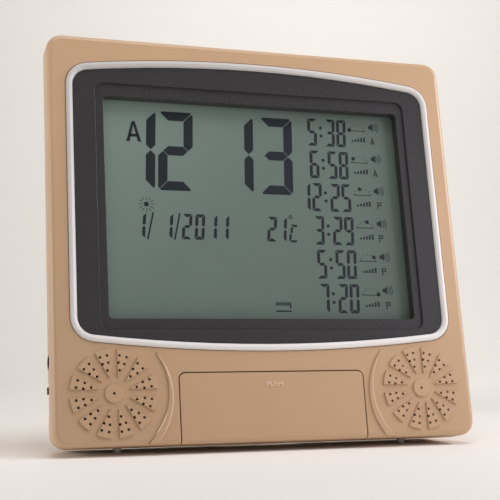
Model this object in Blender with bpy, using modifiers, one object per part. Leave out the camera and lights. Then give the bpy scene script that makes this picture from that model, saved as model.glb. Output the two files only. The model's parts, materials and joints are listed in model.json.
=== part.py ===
"""Table azan clock: a display window in a moulded case, with two speakers, a key door and a rear stand.

Units are metres. The case frame has X to the right, Y from the face to the back and Z up,
with the face at Y = 0 and the case's lower edge at Z = 0. One empty leans that frame back and
sets it on the table, so that the world has its origin under the middle of the clock.
"""
import math

import bmesh
import bpy
from mathutils import Matrix, Vector

# Case
case_width = 0.2270
case_height = 0.2150
case_corner_radius = 0.0080
case_edge_radius = 0.0025
front_depth = 0.0130
wall = 0.0022
gap = 0.0003
lean_angle = math.radians(10.8)
overrun = 0.0020
rear_reveal = 0.0010
rear_side_inset = 0.0060
rear_base_inset = 0.0020
rear_edge_radius = 0.0030
arc_steps = 6
weld_distance = 0.00001

# Silver trim ring, an arched oblong
ring_side_margin = 0.0094
ring_top_margin = 0.0092
ring_above_door = 0.0111
ring_corner_radius = 0.0125
ring_top_arc = 0.7200
ring_base_arc = 0.8500
ring_band = 0.0036
ring_rise = 0.0010
ring_bead = 0.0010
ring_shoulder_share = 0.85

# Dark window frame inside the ring
frame_setback = 0.0005
frame_plate = 0.0020
frame_flange = 0.0014
step_side_margin = 0.01525
step_base_margin = 0.0110
step_top_margin = 0.0163
step_depth = 0.0010
step_corner_radius = 0.0050
opening_side_margin = 0.00445
opening_base_margin = 0.0061
opening_top_margin = 0.0070
opening_corner_radius = 0.0020
tunnel_end = 0.0066
tunnel_wall = 0.0014
nest_wall = 0.0012

# Display and boards
display_border = 0.0020
display_thickness = 0.0028
light_plate_thickness = 0.0020
light_plate_margin = 0.0020
strip_width = 0.0030
strip_depth = 0.0040
board_thickness = 0.0016
board_side_margin = 0.0106
board_base_margin = 0.0074
board_top_margin = 0.0095
board_post_radius = 0.0030
board_post_side_inset = 0.0038
board_post_inset = 0.0060

# Speaker grilles, moulded as wedges between twelve spokes
speaker_inset = 0.0301
speaker_z = 0.0256
grille_radius = 0.0220
grille_rise = 0.0008
spoke_width = 0.0041
spoke_count = 12
boss_radius = 0.0047
hole_radius = 0.00075
hole_ring_outer = 0.0190
hole_ring_middle = 0.0154
hole_ring_inner = 0.0117
hole_spread = math.radians(5.5)
hole_sides = 6

# Crescent beads beside the grilles
crescent_rise = 0.0007
crescent_tip_reach = 0.0220
crescent_tip_rise = 0.0204
crescent_belly_reach = 0.0303
crescent_inner_reach = 0.0278
crescent_foot_reach = 0.0222
crescent_foot_inner_reach = 0.0167
crescent_foot_z = 0.0006
crescent_steps = 9

# Control door and the key bay behind it
door_side_margin = 0.0032
door_height = 0.0352
door_gap = 0.0006
door_thickness = 0.0022
door_corner_radius = 0.0030
door_lip = 0.0060
door_lip_share = 0.8
hinge_y = 0.0042
hinge_z = 0.0036
hinge_lug_radius = 0.0022
hinge_lug_length = 0.0030
hinge_pin_radius = 0.0012
hinge_pin_length = 0.0016
hinge_cheek_depth = 0.0085
hinge_cheek_height = 0.0075
bay_depth = 0.0115
bay_floor = 0.0015
bay_sill = 0.0014
catch_width = 0.0060
catch_height = 0.0030
catch_length = 0.0030
latch_z = 0.0315
latch_size = 0.0036
latch_body_width = 0.0100
latch_body_height = 0.0062
latch_body_depth = 0.0080
latch_travel = 0.0012

# Keys
key_columns = 4
key_rows = 2
key_space = 0.0090
key_side_margin = 0.0039
key_height = 0.0064
key_pitch_z = 0.0110
key_row_base = 0.0096
key_rise = 0.0015
key_flange = 0.0010
key_travel = 0.0005
key_corner_radius = 0.0020
switch_size = 0.0060
switch_depth = 0.0025
key_board_inset = 0.0009
key_board_base = 0.0040
key_board_height = 0.0225
key_post_radius = 0.0022
key_post_inset = 0.0034
key_post_z = 0.0150

# Speakers
speaker_radius = 0.0205
speaker_flange = 0.0012
speaker_depth = 0.0085
speaker_neck_radius = 0.0125
speaker_metal = 0.0008
cone_rim_radius = 0.0185
cone_depth = 0.0045
cone_skin = 0.0006
dust_cap_radius = 0.0060
cap_shoulder_share = 0.7
cap_rise_share = 0.75
magnet_radius = 0.0110
magnet_depth = 0.0060

# Rear cover fittings
cell_radius = 0.00725
cell_length = 0.0500
cell_nub_radius = 0.0026
cell_nub_length = 0.0010
cell_count = 3
cell_spring_length = 0.0030
cell_spring_radius = 0.0036
cell_spring_wire = 0.0003
cell_spring_turns = 2
cell_spring_taper_share = 0.4
contact_thickness = 0.0005
cell_bay_rise = 0.00525
cell_bay_clearance = 0.0013
cell_bay_wall = 0.0016
cell_door_lap = 0.0030
cell_door_ledge = 0.0016
stand_hinge_z = 0.0865
stand_width = 0.0440
stand_tip_width = 0.0300
stand_thickness = 0.0030
stand_open_angle = math.radians(22)
stand_barrel_radius = 0.0024
stand_pin_radius = 0.0010
stand_window_width = 0.0200
stand_window_base = 0.0220
stand_window_top = 0.0620
stand_bay_depth = 0.0052
stand_bay_wall = 0.0018
stand_side_gap = 0.0008
foot_inset = 0.0350
foot_y = 0.0200
foot_radius = 0.0021
foot_tip_radius = 0.0010
foot_height = 0.0019
keyhole_x = 0.0600
keyhole_below_top = 0.0350
keyhole_radius = 0.0042
keyhole_slot_radius = 0.0021
keyhole_rise = 0.0080
vent_count = 5
vent_pitch = 0.0060
vent_width = 0.0020
vent_length = 0.0260

# Screws
screw_post_radius = 0.0036
screw_boss_radius = 0.0032
screw_radius = 0.0011
screw_hole_radius = 0.0015
screw_head_radius = 0.0026
screw_head_depth = 0.0016
screw_well_radius = 0.0030
screw_seat = 0.0190
screw_bite = 0.0080
corner_screw_inset_x = 0.0120
corner_screw_inset_base = 0.0085
corner_screw_inset_top = 0.0110
inner_screw_margin = 0.0071
inner_screw_z = 0.0200

# Left-hand side: power inlet and volume slider, both on the parting line
inlet_z = 0.0433
inlet_radius = 0.0040
inlet_bore_radius = 0.0031
inlet_body = 0.0090
inlet_length = 0.0120
inlet_bore_depth = 0.0100
inlet_pin_radius = 0.0008
inlet_pin_length = 0.0045
slider_slot_base = 0.0163
slider_slot_top = 0.0328
slider_slot_width = 0.0034
slider_body_margin = 0.0020
slider_body_depth = 0.0080
slider_body_thickness = 0.0050
knob_z = 0.0291
knob_length = 0.0034
knob_width = 0.0024
knob_rise = 0.0005

# Derived places
half_width = case_width / 2
speaker_x = half_width - speaker_inset
crescent_tip_x = speaker_x - crescent_tip_reach
crescent_tip_z = speaker_z + crescent_tip_rise
crescent_belly_x = speaker_x - crescent_belly_reach
crescent_inner_x = speaker_x - crescent_inner_reach
crescent_foot_x = speaker_x - crescent_foot_reach
crescent_foot_inner_x = speaker_x - crescent_foot_inner_reach
door_width = 2 * (crescent_belly_x - door_side_margin)
key_pitch_x = (door_width - 2 * key_side_margin) / key_columns
key_width = key_pitch_x - key_space
key_board_width = door_width - 2 * key_board_inset
key_post_x = door_width / 2 - key_post_inset
inner_screw_x = door_width / 2 + inner_screw_margin
foot_x = half_width - foot_inset
keyhole_z = case_height - keyhole_below_top
ring_width = case_width - 2 * ring_side_margin
ring_base = door_height + ring_above_door
ring_top = case_height - ring_top_margin
step_width = ring_width - 2 * step_side_margin
step_base = ring_base + step_base_margin
step_top = ring_top - step_top_margin
opening_width = step_width - 2 * opening_side_margin
opening_base = step_base + opening_base_margin
opening_top = step_top - opening_top_margin
opening_z = (opening_base + opening_top) / 2
board_width = opening_width + 2 * board_side_margin
board_base = opening_base - board_base_margin
board_top = opening_top + board_top_margin
board_post_x = board_width / 2 - board_post_side_inset
display_front = tunnel_end + gap
display_back = display_front + display_thickness
light_front = display_back + gap
strip_back = light_front + strip_depth
board_front = strip_back + gap
board_back = board_front + board_thickness
chip_back = board_back + gap + board_thickness
cell_bay_depth_front = chip_back + cell_bay_clearance + cell_bay_wall
rear_inner = cell_bay_depth_front + 2 * cell_radius + 2 * gap
case_depth = rear_inner + wall
rear_front = front_depth + gap
bay_back = bay_depth + bay_floor
bay_half = door_width / 2 + door_gap + wall / 2
key_flange_front = bay_back + gap
key_flange_back = key_flange_front + key_flange
switch_front = key_flange_back + key_travel + gap
switch_back = switch_front + switch_depth
key_board_front = switch_back + gap
parting_y = front_depth + gap / 2
cell_pitch = 2 * cell_radius + gap
cell_bay_half = cell_count * cell_pitch / 2
cell_reach = cell_length + cell_nub_length + cell_spring_length + 2 * contact_thickness + 5 * gap
stand_bay_top = stand_hinge_z + stand_barrel_radius + stand_side_gap
cell_bay_base = stand_bay_top + stand_bay_wall + cell_bay_rise
cell_bay_top = cell_bay_base + cell_reach
cell_bay_middle_z = (cell_bay_base + cell_bay_top) / 2
cell_y = cell_bay_depth_front + gap + cell_radius
stand_axis_y = case_depth - stand_barrel_radius - gap
stand_bay_front = case_depth - stand_bay_depth
foot_bottom_z = -foot_height + gap
table_slope = math.tan(lean_angle)
stand_length = ((stand_hinge_z - foot_bottom_z - (stand_axis_y - foot_y) * table_slope)
                / (math.cos(stand_open_angle) + math.sin(stand_open_angle) * table_slope))
screw_places = [(side * (half_width - corner_screw_inset_x), corner_screw_inset_base) for side in (-1, 1)]
screw_places += [(side * (half_width - corner_screw_inset_x), case_height - corner_screw_inset_top)
                 for side in (-1, 1)]
screw_places += [(side * inner_screw_x, inner_screw_z) for side in (-1, 1)]

for leftover in list(bpy.data.objects):
    bpy.data.objects.remove(leftover, do_unlink=True)

parts = bpy.data.collections.new("azan_clock")
cutters = bpy.data.collections.new("azan_clock_cutters")
bpy.context.scene.collection.children.link(parts)
bpy.context.scene.collection.children.link(cutters)

# The case frame: leans back, with the feet's undersides on the world's ground plane
case_frame = bpy.data.objects.new("case_frame", None)
parts.objects.link(case_frame)
case_frame.rotation_euler = (-lean_angle, 0, 0)


def material(name, colour, roughness, metallic=0.0, alpha=1.0):
    made = bpy.data.materials.new(name)
    made.use_nodes = True
    shader = made.node_tree.nodes["Principled BSDF"]
    shader.inputs["Base Color"].default_value = (*colour, 1)
    shader.inputs["Roughness"].default_value = roughness
    shader.inputs["Metallic"].default_value = metallic
    shader.inputs["Alpha"].default_value = alpha
    return made


tan_plastic = material("tan_plastic", (0.50, 0.33, 0.21), 0.45)
silver_paint = material("silver_paint", (0.62, 0.61, 0.60), 0.30, 0.6)
dark_plastic = material("dark_plastic", (0.045, 0.043, 0.045), 0.40)
display_glass = material("display_glass", (0.13, 0.17, 0.13), 0.25)
white_plastic = material("white_plastic", (0.75, 0.75, 0.72), 0.50)
board_green = material("board_green", (0.03, 0.16, 0.07), 0.50)
black_plastic = material("black_plastic", (0.02, 0.02, 0.02), 0.45)
key_plastic = material("key_plastic", (0.60, 0.44, 0.31), 0.50)
steel = material("steel", (0.55, 0.55, 0.56), 0.35, 1.0)
paper = material("paper", (0.05, 0.05, 0.05), 0.80)
clear_rubber = material("clear_rubber", (0.80, 0.80, 0.80), 0.30, 0.0, 0.6)
cell_wrap = material("cell_wrap", (0.10, 0.12, 0.15), 0.40)


# Outlines, as lists of (x, z) points running anticlockwise seen from the front

def arc_points(centre_x, centre_z, radius, start, end, steps):
    return [(centre_x + radius * math.cos(start + (end - start) * i / steps),
             centre_z + radius * math.sin(start + (end - start) * i / steps)) for i in range(steps + 1)]


def oblong(half, low, high, radius, middle=0.0, steps=arc_steps):
    quarter = math.pi / 2
    right = middle + half - radius
    left = middle - half + radius
    corners = [(right, low + radius, -quarter), (right, high - radius, 0),
               (left, high - radius, quarter), (left, low + radius, 2 * quarter)]
    points = []
    for x, z, start in corners:
        points += arc_points(x, z, radius, start, start + quarter, steps)
    return points


def arched(inset, steps=arc_steps):
    """The ring's outline drawn in by inset: upright sides, with a wide arc above and below."""
    half = ring_width / 2 - inset
    corner = ring_corner_radius - inset
    points = []
    base = (-1, ring_base + inset, ring_base_arc - inset)
    top = (1, ring_top - inset, ring_top_arc - inset)
    for side, edge, bow in (base, top):
        centre_z = edge - side * bow
        reach = bow - corner
        corner_x = half - corner
        corner_z = centre_z + side * math.sqrt(reach ** 2 - corner_x ** 2)
        lean = math.atan2(side * (corner_z - centre_z), corner_x)
        near = arc_points(side * corner_x, corner_z, corner, *corner_span(side, lean, True), steps)
        bow_start, bow_end = corner_bow(side, lean)
        wide = arc_points(0, centre_z, bow, bow_start, bow_end, 2 * steps)
        far = arc_points(-side * corner_x, corner_z, corner, *corner_span(side, lean, False), steps)
        points += near + wide[1:-1] + far
    return points


def corner_bow(side, lean):
    if side > 0:
        return lean, math.pi - lean
    return math.pi + lean, 2 * math.pi - lean


def corner_span(side, lean, first):
    bow_start, bow_end = corner_bow(side, lean)
    if first:
        return bow_start - lean, bow_start
    return bow_end, bow_end + lean


# Builders

def finish(obj, look, smooth=True):
    parts.objects.link(obj)
    obj.parent = case_frame
    obj.data.materials.clear()
    obj.data.materials.append(look)
    if smooth:
        obj.data.shade_smooth()
        obj.data.set_sharp_from_angle(angle=math.radians(32))
    return obj


def mesh_object(name, bm):
    bmesh.ops.recalc_face_normals(bm, faces=bm.faces)
    mesh = bpy.data.meshes.new(name)
    bm.to_mesh(mesh)
    bm.free()
    return bpy.data.objects.new(name, mesh)


def loft(name, sections):
    """A solid through like outlines: sections is a list of (points, y), from the front to the back."""
    bm = bmesh.new()
    loops = [[bm.verts.new((x, y, z)) for x, z in points] for points, y in sections]
    count = len(loops[0])
    for near, far in zip(loops, loops[1:]):
        for i in range(count):
            bm.faces.new((near[i], near[(i + 1) % count], far[(i + 1) % count], far[i]))
    bm.faces.new(loops[0])
    bm.faces.new(list(reversed(loops[-1])))
    return mesh_object(name, bm)


def swept_band(name, outline, profile):
    """A closed profile of (inset, y) points carried round an outline that can be drawn in."""
    bm = bmesh.new()
    loops = [[bm.verts.new((x, y, z)) for x, z in outline(inset)] for inset, y in profile]
    count = len(loops[0])
    for near, far in zip(loops, loops[1:] + loops[:1]):
        for i in range(count):
            bm.faces.new((near[i], near[(i + 1) % count], far[(i + 1) % count], far[i]))
    return mesh_object(name, bm)


def flat_outlines(name, outlines, front, back):
    """Outlines filled and thickened as one 2D curve, then made a welded mesh in the case frame."""
    curve = bpy.data.curves.new(name, "CURVE")
    curve.dimensions = "2D"
    curve.fill_mode = "BOTH"
    curve.extrude = (back - front) / 2
    for points in outlines:
        spline = curve.splines.new("POLY")
        spline.points.add(len(points) - 1)
        for point, (x, z) in zip(spline.points, points):
            point.co = (x, z, 0, 1)
        spline.use_cyclic_u = True
    holder = bpy.data.objects.new(name, curve)
    cutters.objects.link(holder)
    upright = Matrix.Rotation(math.pi / 2, 4, "X")
    holder.matrix_world = Matrix.Translation((0, (front + back) / 2, 0)) @ upright
    bpy.context.view_layer.update()
    depsgraph = bpy.context.evaluated_depsgraph_get()
    mesh = bpy.data.meshes.new_from_object(holder.evaluated_get(depsgraph))
    mesh.transform(holder.matrix_world)
    bpy.data.objects.remove(holder)
    bm = bmesh.new()
    bm.from_mesh(mesh)
    bmesh.ops.remove_doubles(bm, verts=bm.verts, dist=weld_distance)
    bmesh.ops.dissolve_limit(bm, angle_limit=math.radians(0.1), verts=bm.verts, edges=bm.edges)
    bm.to_mesh(mesh)
    bm.free()
    return bpy.data.objects.new(name, mesh)


def block(name, low, high):
    bm = bmesh.new()
    bmesh.ops.create_cube(bm, size=1)
    size = [b - a for a, b in zip(low, high)]
    middle = [(a + b) / 2 for a, b in zip(low, high)]
    bmesh.ops.transform(bm, matrix=Matrix.Translation(middle) @ Matrix.Diagonal((*size, 1)), verts=bm.verts)
    return mesh_object(name, bm)


def blocks(name, spans):
    """Several separate boxes in one mesh."""
    bm = bmesh.new()
    for low, high in spans:
        size = [b - a for a, b in zip(low, high)]
        middle = [(a + b) / 2 for a, b in zip(low, high)]
        bmesh.ops.create_cube(bm, size=1, matrix=Matrix.Translation(middle) @ Matrix.Diagonal((*size, 1)))
    return mesh_object(name, bm)


def rods(name, spans, sides=12):
    """Separate cylinders or cones in one mesh, each from (start, end, start radius, end radius)."""
    bm = bmesh.new()
    for start, end, radius, end_radius in spans:
        start = Vector(start)
        end = Vector(end)
        turn = Vector((0, 0, 1)).rotation_difference(end - start).to_matrix().to_4x4()
        bmesh.ops.create_cone(bm, cap_ends=True, segments=sides, radius1=radius, radius2=end_radius,
                              depth=(end - start).length,
                              matrix=Matrix.Translation((start + end) / 2) @ turn)
    return mesh_object(name, bm)


def turned(name, profile, x, z, steps=20):
    """A profile of (radius, y) points turned about a line along Y, with a Screw modifier."""
    mesh = bpy.data.meshes.new(name)
    count = len(profile)
    closed = profile[0][0] > 0
    edges = [(i, i + 1) for i in range(count - 1)]
    if closed:
        edges.append((count - 1, 0))
    mesh.from_pydata([(radius, 0, y) for radius, y in profile], edges, [])
    obj = bpy.data.objects.new(name, mesh)
    screw = obj.modifiers.new("Turn", "SCREW")
    screw.steps = steps
    screw.render_steps = steps
    screw.use_merge_vertices = True
    screw.merge_threshold = weld_distance
    obj.location = (x, 0, z)
    obj.rotation_euler = (-math.pi / 2, 0, 0)
    return obj


def shape(target, tool, operation):
    cutters.objects.link(tool)
    tool.parent = case_frame
    tool.hide_render = True
    tool.display_type = "WIRE"
    boolean = target.modifiers.new(tool.name, "BOOLEAN")
    boolean.solver = "EXACT"
    boolean.operation = operation
    boolean.object = tool


def cut(target, tool):
    shape(target, tool, "DIFFERENCE")


def add(target, tool):
    shape(target, tool, "UNION")


def keep_within(target, tool):
    shape(target, tool, "INTERSECT")


def soften(obj, width, segments=2, angle=40):
    bevel = obj.modifiers.new("Soft edges", "BEVEL")
    bevel.width = width
    bevel.segments = segments
    bevel.limit_method = "ANGLE"
    bevel.angle_limit = math.radians(angle)


def case_outline(inset):
    return oblong(half_width - inset, inset, case_height - inset, case_corner_radius - inset)


def rounded_front(edge, radius, back, outline, steps=3):
    """Sections of a form whose front edge is rounded: the outline shrinks as the arc turns in."""
    sections = []
    for i in range(steps, -1, -1):
        turn = math.pi / 2 * i / steps
        sections.append((outline(edge + radius * (1 - math.cos(turn))), radius * (1 - math.sin(turn))))
    sections.append((outline(edge), back))
    return sections


# Front case

def grille_wedges():
    """Wedges between the spokes: straight flanks beside each spoke, and an arc outside."""
    outlines = []
    step = 2 * math.pi / spoke_count
    flank = spoke_width / 2
    for side in (-1, 1):
        for k in range(spoke_count):
            start = k * step + math.asin(flank / grille_radius)
            end = (k + 1) * step - math.asin(flank / grille_radius)
            middle = (k + 0.5) * step
            tip = flank / math.sin(step / 2)
            points = arc_points(side * speaker_x, speaker_z, grille_radius, start, end, 3)
            points.append((side * speaker_x + tip * math.cos(middle), speaker_z + tip * math.sin(middle)))
            outlines.append(points)
        outlines.append(arc_points(side * speaker_x, speaker_z, boss_radius, 0, 2 * math.pi, 12)[:-1])
    return outlines


def grille_holes():
    """Five holes in each wedge and one in each boss."""
    spans = []
    step = 2 * math.pi / spoke_count
    polar = [(hole_ring_inner, 0)]
    for ring in (hole_ring_outer, hole_ring_middle):
        polar += [(ring, -hole_spread), (ring, hole_spread)]
    for side in (-1, 1):
        places = [(side * speaker_x, speaker_z)]
        for k in range(spoke_count):
            for radius, turn in polar:
                angle = (k + 0.5) * step + turn
                places.append((side * speaker_x + radius * math.cos(angle),
                               speaker_z + radius * math.sin(angle)))
        spans += [((x, -overrun, z), (x, wall + overrun, z), hole_radius, hole_radius) for x, z in places]
    return rods("grille_holes", spans, hole_sides)


def arc_through(first, belly, last, steps):
    """Points of the circle through three places, from the first to the last."""
    (ax, az), (bx, bz), (cx, cz) = first, belly, last
    d = 2 * (ax * (bz - cz) + bx * (cz - az) + cx * (az - bz))
    a2 = ax * ax + az * az
    b2 = bx * bx + bz * bz
    c2 = cx * cx + cz * cz
    ux = (a2 * (bz - cz) + b2 * (cz - az) + c2 * (az - bz)) / d
    uz = (a2 * (cx - bx) + b2 * (ax - cx) + c2 * (bx - ax)) / d
    start = math.atan2(az - uz, ax - ux) % (2 * math.pi)
    end = math.atan2(cz - uz, cx - ux) % (2 * math.pi)
    return arc_points(ux, uz, math.hypot(ax - ux, az - uz), start, end, steps)


def crescents():
    outlines = []
    tip = (crescent_tip_x, crescent_tip_z)
    outer = arc_through(tip, (crescent_belly_x, speaker_z), (crescent_foot_x, crescent_foot_z),
                        crescent_steps)
    inner = arc_through((crescent_foot_inner_x, crescent_foot_z), (crescent_inner_x, speaker_z), tip,
                        crescent_steps)
    right = outer + inner[:-1]
    outlines.append(right)
    outlines.append([(-x, z) for x, z in reversed(right)])
    return outlines


def door_outline(clearance):
    half = door_width / 2 + clearance
    top = door_height + clearance
    radius = door_corner_radius + clearance
    points = [(-half, -overrun), (half, -overrun)]
    points += arc_points(half - radius, top - radius, radius, 0, math.pi / 2, arc_steps)
    points += arc_points(radius - half, top - radius, radius, math.pi / 2, math.pi, arc_steps)
    return points


def key_places():
    return [((column - (key_columns - 1) / 2) * key_pitch_x, key_row_base + row * key_pitch_z)
            for row in range(key_rows) for column in range(key_columns)]


def front_case():
    body = loft("front_case", rounded_front(0, case_edge_radius, front_depth, case_outline))
    cavity = loft("front_cavity", [(case_outline(wall), wall), (case_outline(wall), front_depth + overrun)])
    cut(body, cavity)
    cheeks = [((side * bay_half - wall / 2, wall / 2, wall / 2),
               (side * bay_half + wall / 2, hinge_cheek_depth, hinge_cheek_height)) for side in (-1, 1)]
    add(body, blocks("hinge_cheeks", cheeks))
    cut(body, flat_outlines("door_opening", [door_outline(door_gap)], -overrun, bay_depth - bay_sill))
    window = flat_outlines("window_cut", [arched(-gap)], -overrun, wall + overrun)
    cut(body, window)
    add(body, rods("screw_bosses", [((x, wall / 2, z), (x, front_depth - gap, z), screw_boss_radius,
                                     screw_boss_radius) for x, z in screw_places]))
    add(body, flat_outlines("grille_pads", grille_wedges(), -grille_rise, wall / 2))
    add(body, flat_outlines("crescent_beads", crescents(), -crescent_rise, wall / 2))
    cut(body, grille_holes())
    pin_reach = door_width / 2 + door_gap + hinge_pin_length + gap
    bores = [((side * (door_width / 2 - overrun), hinge_y, hinge_z), (side * pin_reach, hinge_y, hinge_z),
              hinge_pin_radius + gap, hinge_pin_radius + gap) for side in (-1, 1)]
    bores += [((x, front_depth - screw_bite, z), (x, front_depth + overrun, z), screw_hole_radius,
               screw_hole_radius) for x, z in screw_places]
    cut(body, rods("bores", bores, 12))
    cut(body, side_openings("front_side_openings"))
    return finish(body, tan_plastic)


def key_bay():
    """The tray behind the door: open to the front and below, with the keys and the latch in its back."""
    low = wall + gap
    outer_half = bay_half + wall / 2
    top = door_height + door_gap + wall
    body = block("key_bay", (-outer_half, low, low), (outer_half, bay_back, top))
    cut(body, flat_outlines("key_bay_cut", [door_outline(door_gap)], -overrun, bay_depth - bay_sill))
    cut(body, block("key_bay_deep_cut", (gap - door_width / 2, bay_depth - bay_sill - gap, low + bay_floor),
                    (door_width / 2 - gap, bay_depth, door_height)))
    room_depth = hinge_cheek_depth + gap
    room_height = hinge_cheek_height + gap
    cheek_room = [((side * bay_half - wall, 0, 0), (side * bay_half + wall, room_depth, room_height))
                  for side in (-1, 1)]
    cut(body, blocks("cheek_room", cheek_room))
    add(body, rods("key_board_posts", [((side * key_post_x, bay_back - bay_floor / 2, key_post_z),
                                        (side * key_post_x, switch_back, key_post_z),
                                        key_post_radius, key_post_radius) for side in (-1, 1)]))
    key_cut_half = key_width / 2 + gap
    key_cuts = [((x - key_cut_half, bay_depth - overrun, z - key_height / 2 - gap),
                 (x + key_cut_half, bay_back + overrun, z + key_height / 2 + gap)) for x, z in key_places()]
    latch_half = latch_size / 2 + gap
    key_cuts.append(((-latch_half, bay_depth - overrun, latch_z - latch_half),
                     (latch_half, bay_back + overrun, latch_z + latch_half)))
    cut(body, blocks("key_windows", key_cuts))
    finish(body, tan_plastic)


def side_openings(name):
    """The round power inlet and the slider's slot, shared by both shells."""
    inner = -half_width + cover_wall_inset(parting_y + inlet_body / 2)
    tool = rods(name, [((-half_width - overrun, parting_y, inlet_z), (inner, parting_y, inlet_z),
                        inlet_radius + gap, inlet_radius + gap)], 20)
    slot = block(name + "_slot", (-half_width - overrun, parting_y - slider_slot_width / 2, slider_slot_base),
                 (inner, parting_y + slider_slot_width / 2, slider_slot_top))
    bm = bmesh.new()
    bm.from_mesh(tool.data)
    bm.from_mesh(slot.data)
    bm.to_mesh(tool.data)
    bm.free()
    bpy.data.objects.remove(slot)
    return tool


# Rear cover

def rear_outline(inset, back_share):
    """The cover's outline at a share of the way from the parting line to the back, drawn in by inset."""
    side = rear_reveal + (rear_side_inset - rear_reveal) * back_share + inset
    base = rear_reveal + (rear_base_inset - rear_reveal) * back_share + inset
    return oblong(half_width - side, base, case_height - side, case_corner_radius - inset)


def cover_wall_inset(y):
    """How far the inside of the cover's leaning side wall lies in from the case's side."""
    share = (y - rear_front + overrun) / (rear_inner - rear_front + overrun)
    return rear_reveal + (rear_side_inset - rear_reveal) * share + wall


def rear_cover():
    depth = case_depth - rear_front
    sections = [(rear_outline(0, 0), rear_front)]
    steps = 3
    for i in range(steps + 1):
        turn = math.pi / 2 * i / steps
        y = case_depth - rear_edge_radius * (1 - math.sin(turn))
        sections.append((rear_outline(rear_edge_radius * (1 - math.cos(turn)), (y - rear_front) / depth), y))
    body = loft("rear_cover", sections)
    cavity = loft("rear_cavity", [(rear_outline(wall, 0), rear_front - overrun),
                                  (rear_outline(wall, 1), rear_inner)])
    cut(body, cavity)
    stand_bay_half = stand_width / 2 + stand_side_gap
    block_half = stand_bay_half + stand_bay_wall
    lower_block = block("stand_bay_block", (-block_half, stand_bay_front - stand_bay_wall, wall),
                        (block_half, case_depth - wall / 2, stand_bay_top + stand_bay_wall))
    cell_block = block("cell_bay_block",
                       (-cell_bay_half - cell_bay_wall, cell_bay_depth_front - cell_bay_wall,
                        cell_bay_base - cell_bay_wall),
                       (cell_bay_half + cell_bay_wall, case_depth - wall / 2, cell_bay_top + cell_bay_wall))
    add(body, lower_block)
    add(body, cell_block)
    posts = [((x, rear_front, z), (x, case_depth - wall / 2, z), screw_post_radius, screw_post_radius)
             for x, z in screw_places]
    add(body, rods("screw_posts", posts))
    cut(body, block("stand_bay", (-stand_bay_half, stand_bay_front, -overrun),
                    (stand_bay_half, case_depth + overrun, stand_bay_top)))
    cut(body, block("cell_bay", (-cell_bay_half, cell_bay_depth_front, cell_bay_base),
                    (cell_bay_half, case_depth + overrun, cell_bay_top)))
    cut(body, block("cell_door_seat", (-cell_bay_half - cell_door_lap, rear_inner - cell_door_ledge + wall,
                                       cell_bay_base - cell_door_lap),
                    (cell_bay_half + cell_door_lap, case_depth + overrun, cell_bay_top + cell_door_lap)))
    wells = []
    for x, z in screw_places:
        wells.append(((x, screw_seat, z), (x, case_depth + overrun, z), screw_well_radius, screw_well_radius))
    cut(body, rods("screw_wells", wells))
    shafts = [((x, rear_front - overrun, z), (x, screw_seat + overrun, z),
               screw_hole_radius, screw_hole_radius) for x, z in screw_places]
    pin_half = stand_bay_half + stand_bay_wall + overrun
    shafts.append(((-pin_half, stand_axis_y, stand_hinge_z), (pin_half, stand_axis_y, stand_hinge_z),
                   stand_pin_radius + gap, stand_pin_radius + gap))
    cut(body, rods("cover_bores", shafts, 12))
    cut(body, flat_outlines("keyholes", keyholes(), rear_inner - overrun, case_depth + overrun))
    cut(body, flat_outlines("vents", vents(), rear_inner - overrun, case_depth + overrun))
    cut(body, side_openings("rear_side_openings"))
    return finish(body, tan_plastic)


def keyholes():
    """A round entry with a narrower slot rising from it, on each side."""
    outlines = []
    meet = math.asin(keyhole_slot_radius / keyhole_radius)
    for side in (-1, 1):
        x = side * keyhole_x
        points = arc_points(x, keyhole_z, keyhole_radius, math.pi / 2 + meet, 2.5 * math.pi - meet, 18)
        points += arc_points(x, keyhole_z + keyhole_rise, keyhole_slot_radius, 0, math.pi, 8)
        outlines.append(points)
    return outlines


def vents():
    outlines = []
    for side in (-1, 1):
        for k in range(vent_count):
            z = speaker_z + (k - (vent_count - 1) / 2) * vent_pitch
            outlines.append(oblong(vent_length / 2, z - vent_width / 2, z + vent_width / 2, vent_width / 2,
                                   side * speaker_x, 2))
    return outlines


# Display group

def trim_ring():
    crest = ring_band / 2
    profile = [(0, wall), (0, ring_bead - ring_rise), (ring_bead / 2, -ring_rise * ring_shoulder_share),
               (crest, -ring_rise), (ring_band - ring_bead / 2, -ring_rise / 2), (ring_band, ring_bead / 2),
               (ring_band, wall)]
    return finish(swept_band("trim_ring", arched, profile), silver_paint)


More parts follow.
